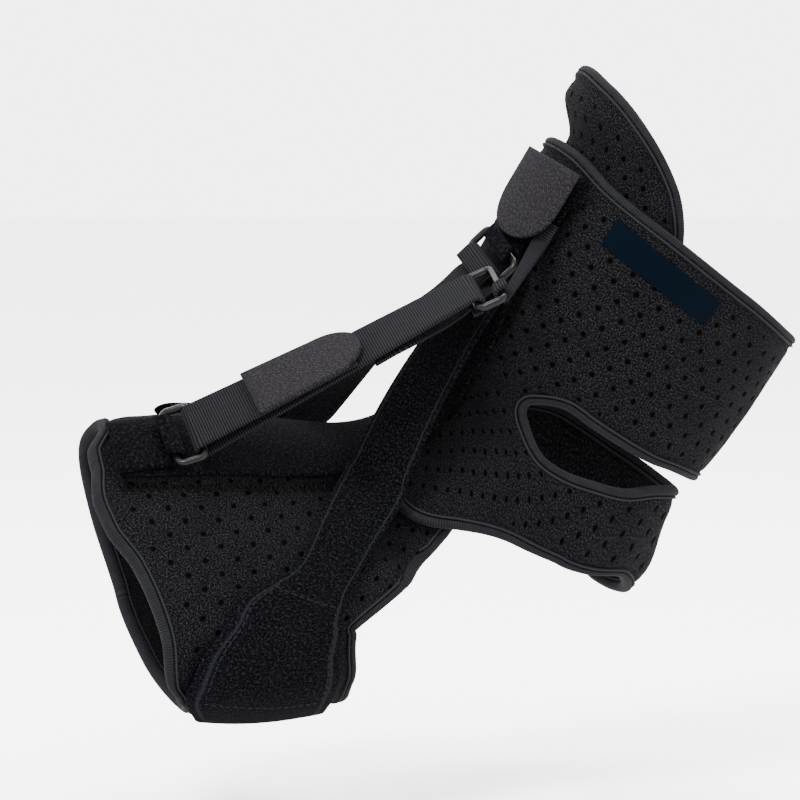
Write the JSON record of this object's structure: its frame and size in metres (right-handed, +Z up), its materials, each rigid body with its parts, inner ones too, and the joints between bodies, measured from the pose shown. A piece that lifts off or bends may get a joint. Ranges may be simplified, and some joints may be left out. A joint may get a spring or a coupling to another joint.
{
  "type": "night splint",
  "caption": "Soft dorsal night splint for a left foot, as worn: shin cuff with a heel slot, forefoot wrap, side straps and a front strap that draws the toes up.",
  "frame": {"origin": "centre of the ankle inside the wraps, where the worn splint sits", "axes": "+Z up, toes towards -X with the shin leaning back 31.5 degrees towards +X, outer side of the left foot towards -Y"},
  "size_m": [0.2341, 0.1531, 0.2057],
  "materials": {
    "neoprene": "matte perforated knit-faced foam",
    "tape": "matte binding tape",
    "loop_cloth": "matte napped loop cloth",
    "webbing": "matte ribbed webbing",
    "hook_tab": "matte smooth",
    "plush": "matte plush loop",
    "navy_label": "matte",
    "ring_plastic": "satin"
  },
  "bodies": {
    "root": {"ankle_wrap": "neoprene", "cuff_binding": "tape", "slot_binding": "tape", "band_binding": "tape", "inner_flap": "neoprene", "flap_binding": "tape", "foot_wrap": "neoprene", "toe_binding": "tape", "rear_binding": "tape", "instep_band": "loop_cloth", "sole_strap": "loop_cloth", "side_strap_lateral": "loop_cloth", "side_strap_medial": "loop_cloth", "toe_ring": "ring_plastic", "shin_ring": "ring_plastic", "side_ring": "ring_plastic", "front_strap": "webbing", "front_strap_tab": "hook_tab", "front_strap_upper": "webbing", "toe_anchor_strap": "plush", "shin_anchor_strap": "plush", "side_anchor_strap": "webbing", "shin_tab": "hook_tab", "label_patch": "navy_label"}
  },
  "joints": []
}
